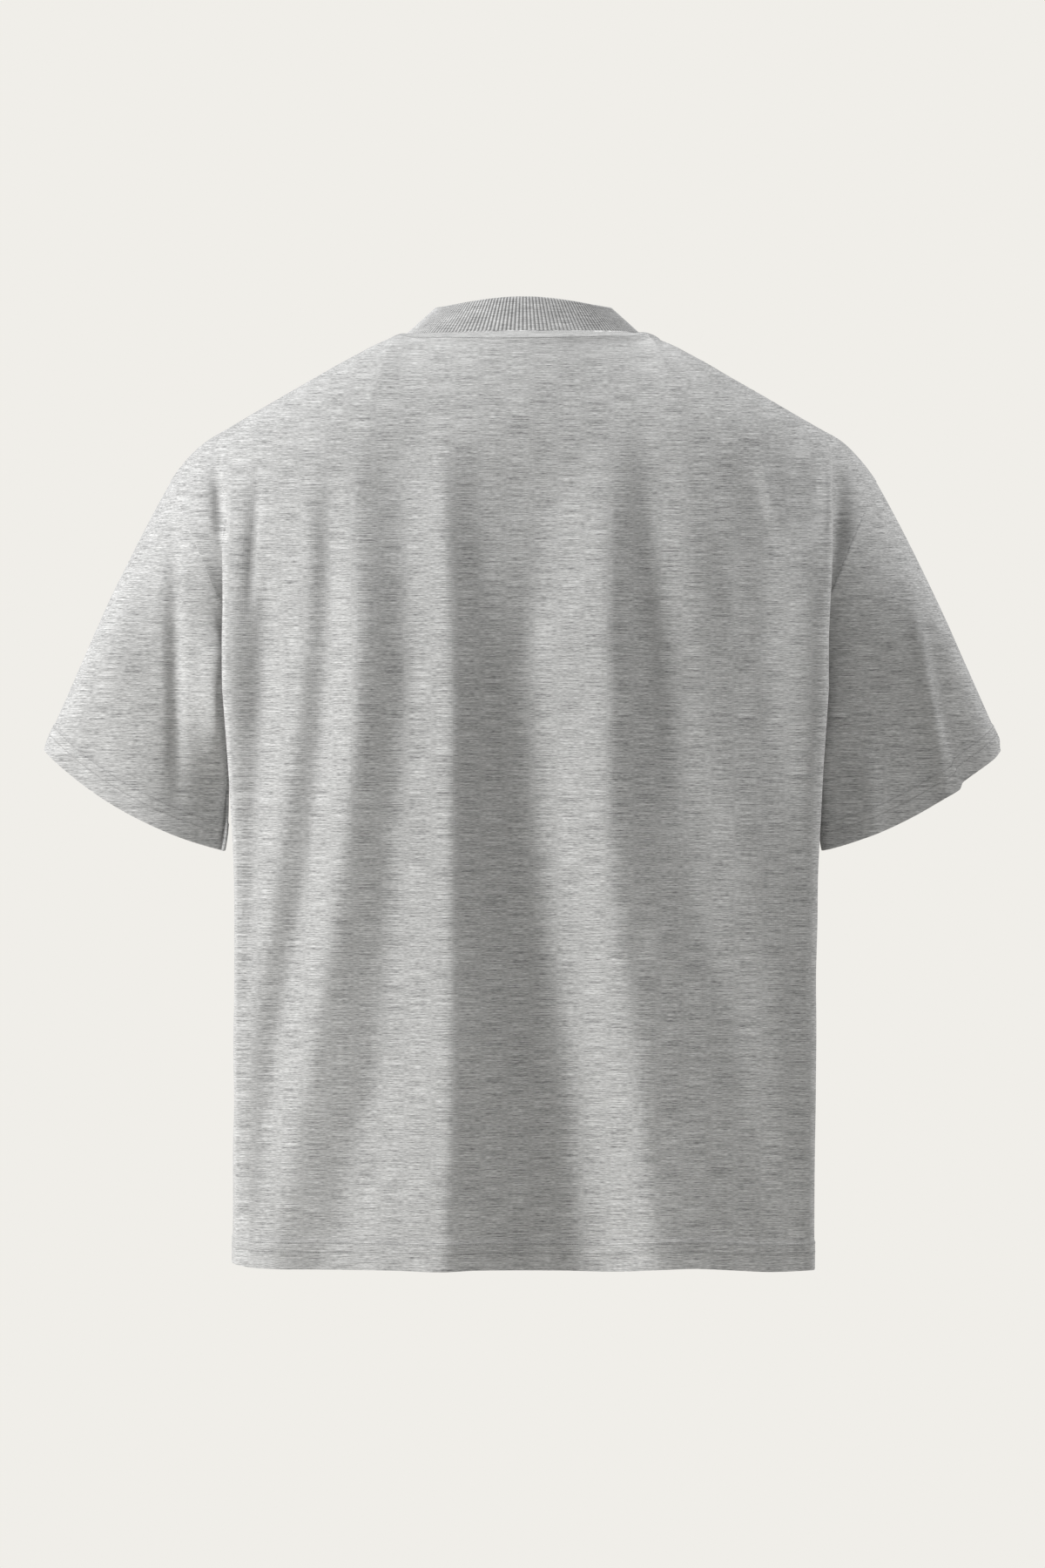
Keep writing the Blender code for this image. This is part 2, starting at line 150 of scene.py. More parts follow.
def armhole_point(angle, side):
    """The armhole seam; angle 0 is the shoulder tip and pi the underarm, side is 1 or -1."""
    middle_x = (SHOULDER_TIP[0] + UNDERARM[0]) / 2
    middle_z = (SHOULDER_TIP[1] + UNDERARM[1]) / 2
    x = middle_x + (SHOULDER_TIP[0] - middle_x) * np.cos(angle)
    z = middle_z + (SHOULDER_TIP[1] - middle_z) * np.cos(angle)
    around = np.sin(angle)
    return side * x, np.where(around > 0, *ARMHOLE_DEPTHS) * around, z


def panel_section(u, z, sections, open_up):
    """A panel's horizontal section: x and depth at share u of its half width, at height z.

    Where open_up is 1 the fold at the corner lies open, and the cloth runs straight to the seam."""
    heights, *shapes = np.array(sections).T
    width, corner, depth, roundness, fold = (smooth_through(heights, shape, z) for shape in shapes)
    seam = smooth_through(*np.array(SIDE_SEAM).T, z)
    across = np.sin(np.pi / 2 * np.minimum(np.abs(u) / CORNER_SHARE, 1.0))
    arc = (1 - across**roundness) ** (1 / roundness)
    behind = np.clip((np.abs(u) - CORNER_SHARE) / (1 - CORNER_SHARE), 0.0, 1.0)
    fold = fold + (1 - fold) * open_up
    x = width * across - (width - seam) * (1 - (1 - behind) ** fold)
    y = corner + (depth - corner) * arc - corner * behind
    return np.sign(u) * x, y


def panel_surface(u, v, side, sections):
    """Points of a whole panel: u from -1 to 1 across it, v from 0 at the hem to 1 at the top."""
    lower = np.minimum(v / (1 - YOKE_SHARE), 1.0)
    z = HEM_Z + (UNDERARM[1] - HEM_Z) * lower
    rise = np.clip((v - 1 + YOKE_SHARE) / YOKE_SHARE, 0.0, 1.0)
    left = -side * u > 0
    opens = np.where(left, ramp(rise, *LEFT_FOLD_OPENS), ramp(rise, *RIGHT_FOLD_OPENS))
    x, y = panel_section(u, z, sections, opens)

    # Upper edge: half the neck seam, then the shoulder seam out to the shoulder tip
    out = np.clip((np.abs(u) - NECK_SHARE) / (1 - NECK_SHARE), 0.0, 1.0)
    angle = np.pi / 2 * (1 - np.minimum(np.abs(u) / NECK_SHARE, 1.0))
    neck_x, neck_y, neck_z = neck_point(angle, side > 0)
    reach = SHOULDER_TIP[0] - NECK_HALF_WIDTH
    shoulder_x = NECK_HALF_WIDTH + reach * (1 - (1 - out) ** SHOULDER_SPREAD)
    step = NECK_SIDE_Z - shoulder_z(NECK_HALF_WIDTH)
    settle = step * (1 - ramp(shoulder_x, NECK_HALF_WIDTH, SETTLE_END))
    top_x = np.sign(u) * np.where(out > 0, shoulder_x, neck_x)
    top_y = np.where(out > 0, 0.0, np.abs(neck_y))
    top_z = np.where(out > 0, shoulder_z(shoulder_x) + settle, neck_z)

    # Each column climbs a rounded arc from the chest to the upper edge
    power = ARC_POWERS[0] + (ARC_POWERS[1] - ARC_POWERS[0]) * np.abs(u)
    turn = np.arccos(np.clip(top_y / np.maximum(y, TINY), 0.0, 1.0) ** (1 / power))
    turned = turn * rise
    climb = np.sin(turned) / np.sin(turn)
    x = x + (top_x - x) * (1 - np.cos(np.pi / 2 * rise))
    y = y * np.cos(turned) ** power
    y = np.where((rise >= 1.0) & (out > 0), 0.0, y)
    z = z + (top_z - z) * np.where(rise > 0, climb, 0.0)

    # Towards the sleeve the columns bend to the armhole seam
    plain_x = UNDERARM[0] + (SHOULDER_TIP[0] - UNDERARM[0]) * (1 - np.cos(np.pi / 2 * rise))
    plain_z = UNDERARM[1] + (SHOULDER_TIP[1] - UNDERARM[1]) * np.sin(np.pi / 2 * rise)
    seam_x, seam_y, seam_z = armhole_point(side * np.pi * (1 - rise), 1)
    if side > 0:
        near = np.clip((np.abs(u) - CORNER_SHARE) / (1 - CORNER_SHARE), 0.0, 1.0)
    else:
        near = ramp(np.abs(u), BLEND_SHARE, 1.0)
    near = near * (rise > 0)
    x = x + np.sign(u) * near * (seam_x - plain_x)
    y = y + near * side * seam_y
    z = z + near * (seam_z - plain_z)

    # Across the back x falls as u grows, so that every face looks out of the shirt
    return np.stack([-side * x, side * y, z], axis=-1)


def surface_normals(points, closed_round=False):
    """Unit normals of a grid of points, out of the shirt."""
    around = np.gradient(points, axis=1)
    if closed_round:
        around[:, 0] = around[:, -1] = (points[:, 1] - points[:, -2]) / 2
    normal = np.cross(around, np.gradient(points, axis=0))
    return normal / np.maximum(np.linalg.norm(normal, axis=-1, keepdims=True), TINY)


# Long folds, a row for each crest or trough line: its x at the five heights, how far it stands out
# at each, and the rounding of its bend. The first and last rows are where the folds end.
FOLD_HEIGHTS = (-705.0, -560.0, -400.0, -250.0, -120.0)
BACK_FOLDS = (
    (-226, -226, -227, -231, -236, 1.5, 1.0, 2.0, 1.8, 3.0, 5),
    (-216, -214, -206, -186, -194, -7.0, -5.5, -4.0, -11.2, -9.0, 8),
    (-208, -203, -168, -130, -125, -7.5, -4.0, -3.0, -6.8, -2.8, 7),
    (-190, -165, -124, -102, -92, -9.0, -7.0, -6.0, -11.8, -6.8, 7),
    (-100, -87, -68, -68, -68, 3.5, 5.5, 8.0, 8.8, 4.2, 8),
    (-42, -30, -11, -2, -22, -20.5, -17.0, -15.0, -11.2, -7.8, 11),
    (20, 22, 28, 27, 38, 4.5, 4.0, 1.0, -2.2, -3.8, 8),
    (60, 55, 55, 54, 60, 16.0, 15.5, 11.5, 10.2, 4.8, 4),
    (150, 114, 100, 88, 94, -5.0, -4.0, -1.0, -1.2, -5.2, 9),
    (190, 163, 137, 125, 127, -0.5, 3.0, 8.5, 10.2, 1.2, 6),
    (206, 193, 165, 151, 150, -3.0, -9.5, -5.0, -4.8, -3.2, 5),
    (212, 209, 186, 167, 160, -3.0, -5.5, -0.5, -1.2, -1.8, 5),
    (218, 216, 210, 203, 202, -5.0, -6.0, -9.5, -15.8, -7.8, 6),
    (226, 226, 227, 230, 236, -1.5, -1.0, -2.0, -1.8, -1.8, 4),
)


def fold_offset(x, z, folds):
    """Distance by which the long folds stand out: straight flanks that bend softly at each line."""
    heights = np.array(FOLD_HEIGHTS)
    count = len(heights)
    rows = np.array(folds, float)
    line_x = [smooth_through(heights, row[:count], z) for row in rows]
    line_out = [smooth_through(heights, row[count:2 * count], z) for row in rows]
    total = np.zeros_like(x)
    slope = np.zeros_like(x)
    for place, row in enumerate(rows):
        if place + 1 < len(rows):
            rise = line_out[place + 1] - line_out[place]
            next_slope = rise / (line_x[place + 1] - line_x[place])
        else:
            next_slope = np.zeros_like(x)
        total += (next_slope - slope) / 2 * np.sqrt((x - line_x[place]) ** 2 + row[-1] ** 2)
        slope = next_slope
    return total + (line_out[0] + line_out[-1]) / 2


# Short creases: x and z of one end, x and z of the other, half width, and how far each stands out
# (a groove is negative)
BACK_CREASES = (
    (237, -104, 231, -156, 3.6, -4.2),
    (206, -104, 213, -214, 4.2, -2.8),
    (-181, -90, -199, -150, 6.5, 3.6),
    (-222, -96, -219, -160, 7.0, -2.6),
    (-258, -74, -240, -106, 5.0, 2.4),
    (-231, -92, -233, -215, 4.0, 3.2),
    (-243, -86, -241, -205, 7.5, -5.0),
    (-150, -150, -163, -235, 9.0, -1.2),
    (168, -120, 158, -200, 8.0, 1.2),
)
CREASE_FADES = ((-0.15, 0.4), (0.6, 1.15))  # shares of its length where a crease starts and ends


def crease_offset(x, z, creases):
    """Distance by which the short creases stand out, each fading at both ends."""
    total = np.zeros_like(x)
    for x0, z0, x1, z1, half_width, out in creases:
        run, rise = x1 - x0, z1 - z0
        length = math.hypot(run, rise)
        along = ((x - x0) * run + (z - z0) * rise) / length**2
        across = ((x - x0) * rise - (z - z0) * run) / length
        fade = ramp(along, *CREASE_FADES[0]) * (1 - ramp(along, *CREASE_FADES[1]))
        total += out * fade * np.exp(-((across / half_width) ** 2))
    return total


DRIFT = 0.10  # how far each wave of the soft cloth's drift stands out
DRIFT_WAVES = 9
DRIFT_LENGTHS = ((34, 90), (70, 220))  # across and up
DRIFT_LEAN = 0.25


def drift(x, z, seed):
    """The faint unevenness of soft jersey, a few long waves."""
    waves = np.random.default_rng(seed)
    total = np.zeros_like(x)
    for _ in range(DRIFT_WAVES):
        length_x, length_z = waves.uniform(*DRIFT_LENGTHS[0]), waves.uniform(*DRIFT_LENGTHS[1])
        phase_x, phase_z = waves.uniform(0, 2 * np.pi, 2)
        lean = waves.uniform(-DRIFT_LEAN, DRIFT_LEAN)
        over = np.sin((x + lean * z) / length_x * 2 * np.pi + phase_x)
        total += over * np.sin(z / length_z * 2 * np.pi + phase_z)
    return total * DRIFT


def path_lengths(points, axis):
    """Distance travelled along the grid in one direction, from its first line."""
    steps = np.linalg.norm(np.diff(points, axis=axis), axis=-1)
    first = np.zeros_like(np.take(steps, [0], axis=axis))
    return np.cumsum(np.concatenate([first, steps], axis=axis), axis=axis)


COURSE_LEVELS = 320
COURSE_GUIDE = 0.3  # share of a panel's columns at the one that spaces its courses


def course_lengths(points):
    """Horizontal distance of each point from the middle column, walked round at its own height."""
    rising = points if points[-1, 0, 2] > points[0, 0, 2] else points[::-1]
    levels = np.linspace(points[..., 2].min(), points[..., 2].max(), COURSE_LEVELS)
    sections = []
    for line in rising.transpose(1, 0, 2):
        heights = np.maximum.accumulate(line[:, 2])
        sections.append([np.interp(levels, heights, line[:, axis]) for axis in (0, 1)])
    steps = np.linalg.norm(np.diff(np.array(sections), axis=0), axis=1)
    walked = np.concatenate([np.zeros((1, COURSE_LEVELS)), np.cumsum(steps, axis=0)])
    walked -= walked[len(walked) // 2]
    return np.stack(
        [np.interp(points[:, place, 2], levels, row) for place, row in enumerate(walked)], axis=1)


def course_heights(points, guide):
    """Distance up the cloth: courses run level, as far apart as they lie on the guide column."""
    line = points[:, guide]
    climb = np.concatenate([[0.0], np.cumsum(np.linalg.norm(np.diff(line, axis=0), axis=-1))])
    up = np.interp(points[..., 2], np.maximum.accumulate(line[:, 2]), climb)
    return up + np.minimum(points[..., 2] - line[0, 2], 0.0)


JERSEY_WALL = 1.2
RIM_ROUNDING = 0.4
RIM_ANGLE = 60
MERGE = 0.02


def knit_grid(points, across, up, marks=(), doubled=None):
    """A sheet from a grid of points in mm, with its knit coordinates and its values at each point.

    The marks are seam distances in mm, and doubled is 1 where the cloth lies double."""
    rows, columns = points.shape[:2]
    sheet = bmesh.new()
    bmesh.ops.create_grid(sheet, x_segments=columns - 1, y_segments=rows - 1, size=1.0)
    knit = sheet.loops.layers.uv.new("knit")
    for mark in marks:
        sheet.verts.layers.float.new(mark)
    layers = [(sheet.verts.layers.float[mark], marks[mark].ravel()) for mark in marks]
    if doubled is not None:
        deform = sheet.verts.layers.deform.verify()
    order = sorted(sheet.verts, key=lambda vert: (round(vert.co.y, 6), round(vert.co.x, 6)))
    flat_across, flat_up = across.ravel() * MM, up.ravel() * MM
    spot = {}
    for place, (vert, point) in enumerate(zip(order, points.reshape(-1, 3))):
        vert.co = point * MM
        spot[vert] = place
        for layer, values in layers:
            vert[layer] = values[place]
        if doubled is not None:
            vert[deform][0] = float(doubled.flat[place])
    for face in sheet.faces:
        face.smooth = True
        for loop in face.loops:
            place = spot[loop.vert]
            loop[knit].uv = (flat_across[place], flat_up[place])
    return sheet


def add_object(name, data):
    """An object in the scene from a mesh, a lamp or a camera."""
    made = bpy.data.objects.new(name, data)
    bpy.context.scene.collection.objects.link(made)
    return made


def add_mesh(name, form, material):
    """A finished object from a bmesh, which it uses up."""
    mesh = bpy.data.meshes.new(name)
    form.to_mesh(mesh)
    form.free()
    mesh.materials.append(material)
    return add_object(name, mesh)


def add_cloth(name, points, across, up, marks, doubled, material, closed_round=False):
    """A sheet of jersey with its wall inside it and a soft rim."""
    sheet = knit_grid(points, across, up, marks, doubled)
    if closed_round:
        bmesh.ops.remove_doubles(sheet, verts=sheet.verts, dist=MERGE * MM)
    made = add_mesh(name, sheet, material)
    made.vertex_groups.new(name="double cloth")
    shell = made.modifiers.new("cloth wall", "SOLIDIFY")
    shell.thickness = 2 * JERSEY_WALL * MM
    shell.offset = -1.0
    shell.vertex_group = "double cloth"
    shell.thickness_vertex_group = 0.5
    shell.use_even_offset = False
    shell.use_quality_normals = True
    rim = made.modifiers.new("worn rim", "BEVEL")
    rim.limit_method = "ANGLE"
    rim.angle_limit = math.radians(RIM_ANGLE)
    rim.width = RIM_ROUNDING * MM
    rim.segments = 2
    return made


def linear(hex_colour):
    """An sRGB hex colour as linear red, green, blue and 1."""
    parts = [int(hex_colour[place:place + 2], 16) / 255 for place in (1, 3, 5)]
    light = [c / 12.92 if c <= 0.04045 else ((c + 0.055) / 1.055) ** 2.4 for c in parts]
    return (*light, 1.0)


def connect(tree, node, inputs):
    """Gives a node's inputs their values or links; a node there stands for its first output."""
    for socket, value in inputs.items():
        if isinstance(value, bpy.types.Node):
            value = value.outputs[0]
        if isinstance(value, bpy.types.NodeSocket):
            tree.links.new(value, node.inputs[socket])
        else:
            node.inputs[socket].default_value = value


def add_node(tree, kind, inputs, **settings):
    """Adds a node with its settings and its inputs."""
    node = tree.nodes.new(kind)
    for setting, value in settings.items():
        setattr(node, setting, value)
    connect(tree, node, inputs)
    return node


def new_material(name):
    """A material, with its node tree and its surface."""
    material = bpy.data.materials.new(name)
    material.use_nodes = True
    return material, material.node_tree, material.node_tree.nodes["Principled BSDF"]


WALE_PITCH = 1.1
COURSE_PITCH = 0.9
NEEDLE_REACH = 0.8
# Streaks a metre across and up the cloth, their share of the contrast, and their detail
STREAKS = (
    (230.0, 3200.0, 1.10, 3.0),
    (50.0, 2500.0, 0.96, 1.0),
    (18.0, 130.0, 0.16, 1.0),
)


def heather_streaks(tree, knit):
    """Grey and white fibres drawn out along the courses, from 0 dark to 1 light, mean 0.5.

    The fibres lie in streaks 3 to 12 mm long and under 1 mm tall, over a faint broad mottle."""
    total = 0.5
    for place, (across, up, share, detail) in enumerate(STREAKS):
        spread = add_node(tree, "ShaderNodeMapping", {
            "Vector": knit, "Scale": (across, up, 1.0),
            "Location": (3.7 * place, 1.9 * place, 0.4 * place)})
        noise = add_node(tree, "ShaderNodeTexNoise", {
            "Vector": spread, "Scale": 1.0, "Detail": detail, "Roughness": 0.55,
        }, noise_dimensions="2D")
        centred = add_node(tree, "ShaderNodeMath", {0: noise, 1: 0.5}, operation="SUBTRACT")
        total = add_node(
            tree, "ShaderNodeMath", {0: centred, 1: share, 2: total}, operation="MULTIPLY_ADD")
    return total


def loop_wave(tree, distance, pitch, operation="SINE"):
    """A wave from -1 to 1 that repeats at a pitch in mm."""
    turns = add_node(
        tree, "ShaderNodeMath", {0: distance, 1: 2 * math.pi / (pitch * MM)}, operation="MULTIPLY")
    return add_node(tree, "ShaderNodeMath", {0: turns}, operation=operation)


def knit_relief(tree, knit):
    """Height of the knitted loops. The real ones are a little finer, and would not show."""
    parts = add_node(tree, "ShaderNodeSeparateXYZ", {"Vector": knit})
    wale = loop_wave(tree, parts.outputs["X"], WALE_PITCH)
    course = loop_wave(tree, parts.outputs["Y"], COURSE_PITCH)
    courses = add_node(tree, "ShaderNodeMath", {0: course, 1: 0.4}, operation="MULTIPLY")
    return add_node(tree, "ShaderNodeMath", {0: wale, 1: 0.6, 2: courses}, operation="MULTIPLY_ADD")


def needle_rows(tree, mark, distances, pull_and_shade):
    """How deep the stitches sink the cloth on each line at these distances from a seam or hem, 0
    elsewhere; it also sets the painted shade there.
    """
    distance = add_node(tree, "ShaderNodeAttribute", {}, attribute_name=mark).outputs["Fac"]
    total = 0.0
    for row in distances:
        past = add_node(tree, "ShaderNodeMath", {0: distance, 1: row}, operation="SUBTRACT")
        away = add_node(tree, "ShaderNodeMath", {0: past}, operation="ABSOLUTE")
        near = add_node(tree, "ShaderNodeMapRange", {
            "Value": away, "From Min": 0.0, "From Max": NEEDLE_REACH, "To Min": pull_and_shade, "To Max": 0.0,
        }, interpolation_type="SMOOTHSTEP")
        total = add_node(tree, "ShaderNodeMath", {0: near, 1: total}, operation="ADD")
    return total


# Single jersey in cotton with dark and white fibres spun together: matt, soft and slightly fuzzy,
# with dark and light streaks along the courses, the knit just felt, and needle rows that pull in,
# with painted shade darkening the cloth along them.
def heather_jersey(name, rows):
    material, tree, surface = new_material(name)
    knit = add_node(tree, "ShaderNodeUVMap", {}, uv_map="knit")
    streaks = heather_streaks(tree, knit)
    colour = add_node(tree, "ShaderNodeValToRGB", {"Fac": streaks})
    stops = colour.color_ramp.elements
    stops[0].position, stops[0].color = 0.18, linear("#7C7C7C")
    stops[1].position, stops[1].color = 0.86, linear("#E4E4E3")
    stops.new(0.50).color = linear("#B9B9B8")
    stitch_pull_and_shade = 0.0
    for mark, (pull_and_shade, distances) in rows.items():
        stitch_pull_and_shade = add_node(tree, "ShaderNodeMath", {
            0: needle_rows(tree, mark, distances, pull_and_shade), 1: stitch_pull_and_shade}, operation="ADD")
    # painted shade: the cloth's colour is darkened along the needle rows, where their groove is
    # shaded
    shade = add_node(
        tree, "ShaderNodeMath", {0: stitch_pull_and_shade, 1: -0.16, 2: 1.0}, operation="MULTIPLY_ADD")
    tinted = add_node(tree, "ShaderNodeVectorMath", {0: colour, "Scale": shade}, operation="SCALE")
    fibres = add_node(tree, "ShaderNodeMath", {0: streaks, 1: 0.18}, operation="MULTIPLY")
    loops = knit_relief(tree, knit)
    relief = add_node(
        tree, "ShaderNodeMath", {0: loops, 1: 0.10, 2: fibres}, operation="MULTIPLY_ADD")
    relief = add_node(
        tree, "ShaderNodeMath", {0: stitch_pull_and_shade, 1: -0.6, 2: relief}, operation="MULTIPLY_ADD")
    bump = add_node(tree, "ShaderNodeBump", {"Height": relief, "Strength": 0.5, "Distance": 0.0006})
    fuzz = add_node(
        tree, "ShaderNodeMath", {0: streaks, 1: -0.10, 2: 0.97}, operation="MULTIPLY_ADD")
    connect(tree, surface, {
        "Base Color": tinted, "Normal": bump, "Roughness": fuzz,
        "Specular IOR Level": 0.25, "Sheen Weight": 0.12, "Sheen Roughness": 0.6})
    return material


FACE_LINES = 78  # mesh lines from the centre of a panel to its corner fold, and on to its seam
FLANK_LINES = 26
EDGE_LINES = (0.992, 0.997)
BODY_ROWS = 92
YOKE_ROWS = 84
TOP_ROW = 0.9975
HEM_LINES = (0.0, 0.8, 2.5, 5.0, 8.0, 11.0, 13.0, 15.0, 17.5, 19.0, 20.0, 21.0, 22.5, 26.0)


def panel_lines():
    """Mesh lines across a panel: even over its face, closer at the corner fold and at the seams."""
    face = np.arcsin(np.linspace(0.0, 0.985, FACE_LINES)) * 2 / np.pi * CORNER_SHARE
    flank = np.linspace(face[-1], 1.0, FLANK_LINES)[1:]
    half = np.unique(np.round(np.concatenate([face, flank, [NECK_SHARE, *EDGE_LINES]]), 6))
    return np.concatenate([-half[:0:-1], half])


def panel_rows():
    """Mesh lines up a panel: closer in the turned hem and beside the neck seam."""
    hem = np.array(HEM_LINES) / (UNDERARM[1] - HEM_Z) * (1 - YOKE_SHARE)
    body = np.linspace(hem[-1], 1 - YOKE_SHARE, BODY_ROWS)[1:]
    yoke = np.linspace(1 - YOKE_SHARE, 1.0, YOKE_ROWS)[1:]
    return np.unique(np.concatenate([hem, body, yoke, [TOP_ROW]]))


HEM_DEPTH = 20.0
HEM_ROWS = (13.0, 20.0)  # heights of the two needle rows above a hem
HEM_RISE = 0.6  # the turned-up hem is thicker, and half of that shows outside
HEM_EDGE = (2.5, 1.5)  # how far above it the outside and the wall's thickness settle
HEM_DIP_REACH = 130.0
BACK_HEM_DIPS = (  # x and how far the hem hangs below its height there
    (-224, 1.0), (-205, 1.9), (-190, 2.2), (-175, 1.6), (-150, 0.2), (-131, -0.6), (-110, 0.0),
    (-66, 1.6), (-30, 0.9), (14, 0.4), (35, 0.4), (62, 1.6), (95, 0.6), (160, 0.0), (191, -0.2),
    (207, -1.0), (224, -3.6),
)
NECK_BAND = 11.5  # width of the topstitched seam allowance
NECK_BAND_SPREAD = 6.0  # how much wider it is at the shoulders
NECK_BAND_WIDENS = (55.0, 100.0)  # distances from the middle over which it widens
NECK_BAND_RISE = (1.5, 0.5)  # how proud it stands at the wearer's right and left
NECK_BAND_SIDES = (-70.0, 70.0)
NECK_BAND_EDGE = (-0.4, 1.6)  # its edge, before and past its width
NECK_BAND_DROP = 2.4  # how far the band's edge slides down the collar
NECK_BAND_FADE = 2.0  # how far past its width the doubled wall ends
NECK_ROW = NECK_BAND - 1.2  # the needle row that holds it
HEM_PULL_AND_SHADE = 1.0  # how strongly the needle rows pull the cloth in, and how dark the painted shade along them is
NECK_PULL_AND_SHADE = 2.4
SEAM_TUCK = (0.12, 2.5)  # how deep and how wide a panel dips at its seams
FOLD_TOP = (-130.0, -60.0)  # heights between which the folds die away towards the shoulders
FOLD_EDGE = (0.84, 0.93)  # shares of the half panel over which they die away at the corner fold
CREASE_EDGE = (0.90, 0.97)  # shares of the half panel over which creases stop below the yoke
CREASE_YOKE = (-225.0, -195.0)  # heights from which they run on to the armhole seam
SEAM_CALM = (0.96, 1.0)  # shares of the half panel over which the cloth turns smooth at its seam
CREASE_TOP = (0.93, 0.99)  # shares of the panel's rows over which creases end
DRIFT_TOP = (0.93, 1.0)  # and over which the drift does
FAR = 999.0


def panel_cloth(side, sections, folds, creases, dips, seed):
    """A panel's finished points, and their distances from the hem and the neck seam."""
    u, v = np.meshgrid(panel_lines(), panel_rows())
    plain = panel_surface(u, v, side, sections)
    x, z = plain[..., 0], plain[..., 2]
    seams = 1 - ramp(np.abs(u), *SEAM_CALM)
    body_edge = 1 - ramp(np.abs(u), *CREASE_EDGE) * (1 - ramp(z, *CREASE_YOKE))
    out = fold_offset(x, z, folds) * (1 - ramp(z, *FOLD_TOP)) * (1 - ramp(np.abs(u), *FOLD_EDGE))
    out += crease_offset(x, z, creases) * body_edge * seams * (1 - ramp(v, *CREASE_TOP))
    out += drift(x, z, seed) * seams * (1 - ramp(v, *DRIFT_TOP))

    from_hem = path_lengths(plain, 0)
    from_top = from_hem[-1] - from_hem
    neck = np.abs(u) <= NECK_SHARE + TINY
    from_neck = np.full(u.shape, FAR)
    for point in plain[-1][neck[-1]]:
        from_neck = np.minimum(from_neck, np.linalg.norm(plain - point, axis=-1))
    from_neck *= NECK_BAND / (NECK_BAND + NECK_BAND_SPREAD * ramp(np.abs(x), *NECK_BAND_WIDENS))
    right, left = NECK_BAND_RISE
    proud = right + (left - right) * ramp(x, *NECK_BAND_SIDES)
    before, past = NECK_BAND_EDGE
    out += proud * (1 - ramp(from_neck, NECK_BAND + before, NECK_BAND + past))
    out += HEM_RISE * (1 - ramp(from_hem, HEM_DEPTH, HEM_DEPTH + HEM_EDGE[0]))

    to_side = path_lengths(plain, 1)
    to_side = np.minimum(to_side, to_side[:, [-1]] - to_side)
    to_top = np.where(neck, FAR, from_top)
    out -= SEAM_TUCK[0] * (1 - ramp(np.minimum(to_side, to_top), 0.0, SEAM_TUCK[1]))
    points = plain + surface_normals(plain) * out[..., None]
    dip = smooth_through(*np.array(dips).T, x)
    points[..., 2] -= dip * (1 - ramp(from_hem, 0.0, HEM_DIP_REACH))
    points[..., 2] -= NECK_BAND_DROP * (1 - ramp(from_neck, 0.0, NECK_BAND))
    return points, {"from_hem": from_hem, "from_neck": from_neck}


def add_panel(name, side, sections, folds, creases, dips, seed):
    """Adds a body panel, and gives its cloth, its finished points and seam distances."""
    points, marks = panel_cloth(side, sections, folds, creases, dips, seed)
    across = course_lengths(points)
    up = course_heights(points, int(points.shape[1] * COURSE_GUIDE))
    doubled = np.maximum(
        1 - ramp(marks["from_hem"], HEM_DEPTH, HEM_DEPTH + HEM_EDGE[1]),
        1 - ramp(marks["from_neck"], NECK_BAND, NECK_BAND + NECK_BAND_FADE))
    rows = {"from_hem": (HEM_PULL_AND_SHADE, HEM_ROWS), "from_neck": (NECK_PULL_AND_SHADE, (NECK_ROW,))}
    panel = add_cloth(
        name + "_cloth", points, across, up, marks, doubled, heather_jersey(name + "_jersey", rows))
    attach(panel, "root")
    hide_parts(name)
    return panel, points, marks


back_cloth, back_points, back_marks = add_panel(
    "back_panel", 1, BACK_SECTIONS, BACK_FOLDS, BACK_CREASES, BACK_HEM_DIPS, 11)

# ------------------------------
# Front panel: the same jersey and cut as the back with a lower neckline. It hangs straight from
# the chest in softer folds.
# ------------------------------
FRONT_SECTIONS = (
    (-716.0, 223.5, 56.0, 126.0, 2.4, 2.0),
    (-560.0, 221.5, 58.0, 128.0, 2.4, 2.0),
    (-400.0, 213.0, 60.0, 130.0, 2.4, 2.5),
    (-330.0, 210.0, 60.0, 131.0, 2.4, 3.0),
    (-270.0, 213.0, 60.0, 130.0, 2.4, 4.0),
)
FRONT_FOLDS = (
    (-218, -216, -214, -214, -214, 0.0, 0.0, 0.0, 0.0, 0.0, 8),
    (-202, -192, -182, -174, -170, -1.5, -3.0, -4.5, -3.0, -1.5, 8),
    (-172, -150, -136, -126, -120, 3.0, 5.0, 6.5, 5.5, 2.5, 7),
    (-122, -108, -96, -88, -84, -5.0, -4.5, -4.0, -3.0, -1.5, 11),
    (-78, -66, -54, -47, -46, 13.0, 12.0, 9.5, 6.5, 2.5, 7),
    (-12, -8, -1, 3, 4, -15.0, -13.5, -11.5, -8.0, -2.5, 15),
    (50, 52, 53, 55, 58, 12.0, 9.5, 8.0, 6.5, 4.0, 6),
    (116, 111, 104, 96, 92, -8.0, -6.0, -3.5, -2.0, -1.5, 12),
    (170, 159, 147, 134, 128, 5.0, 6.5, 6.0, 4.5, 2.5, 8),
    (202, 195, 185, 173, 168, -1.5, -3.0, -4.5, -3.5, -1.5, 8),
    (218, 216, 214, 214, 214, 0.0, 0.0, 0.0, 0.0, 0.0, 8),
)
FRONT_CREASES = (
    (214, -90, 196, -160, 7.0, -2.4),
    (176, -96, 160, -170, 9.0, 2.0),
    (-214, -96, -200, -168, 7.0, -2.0),
    (-168, -88, -152, -150, 9.0, 2.2),
    (-236, -100, -230, -190, 5.0, 2.0),
    (232, -110, 228, -210, 5.0, 1.6),
)
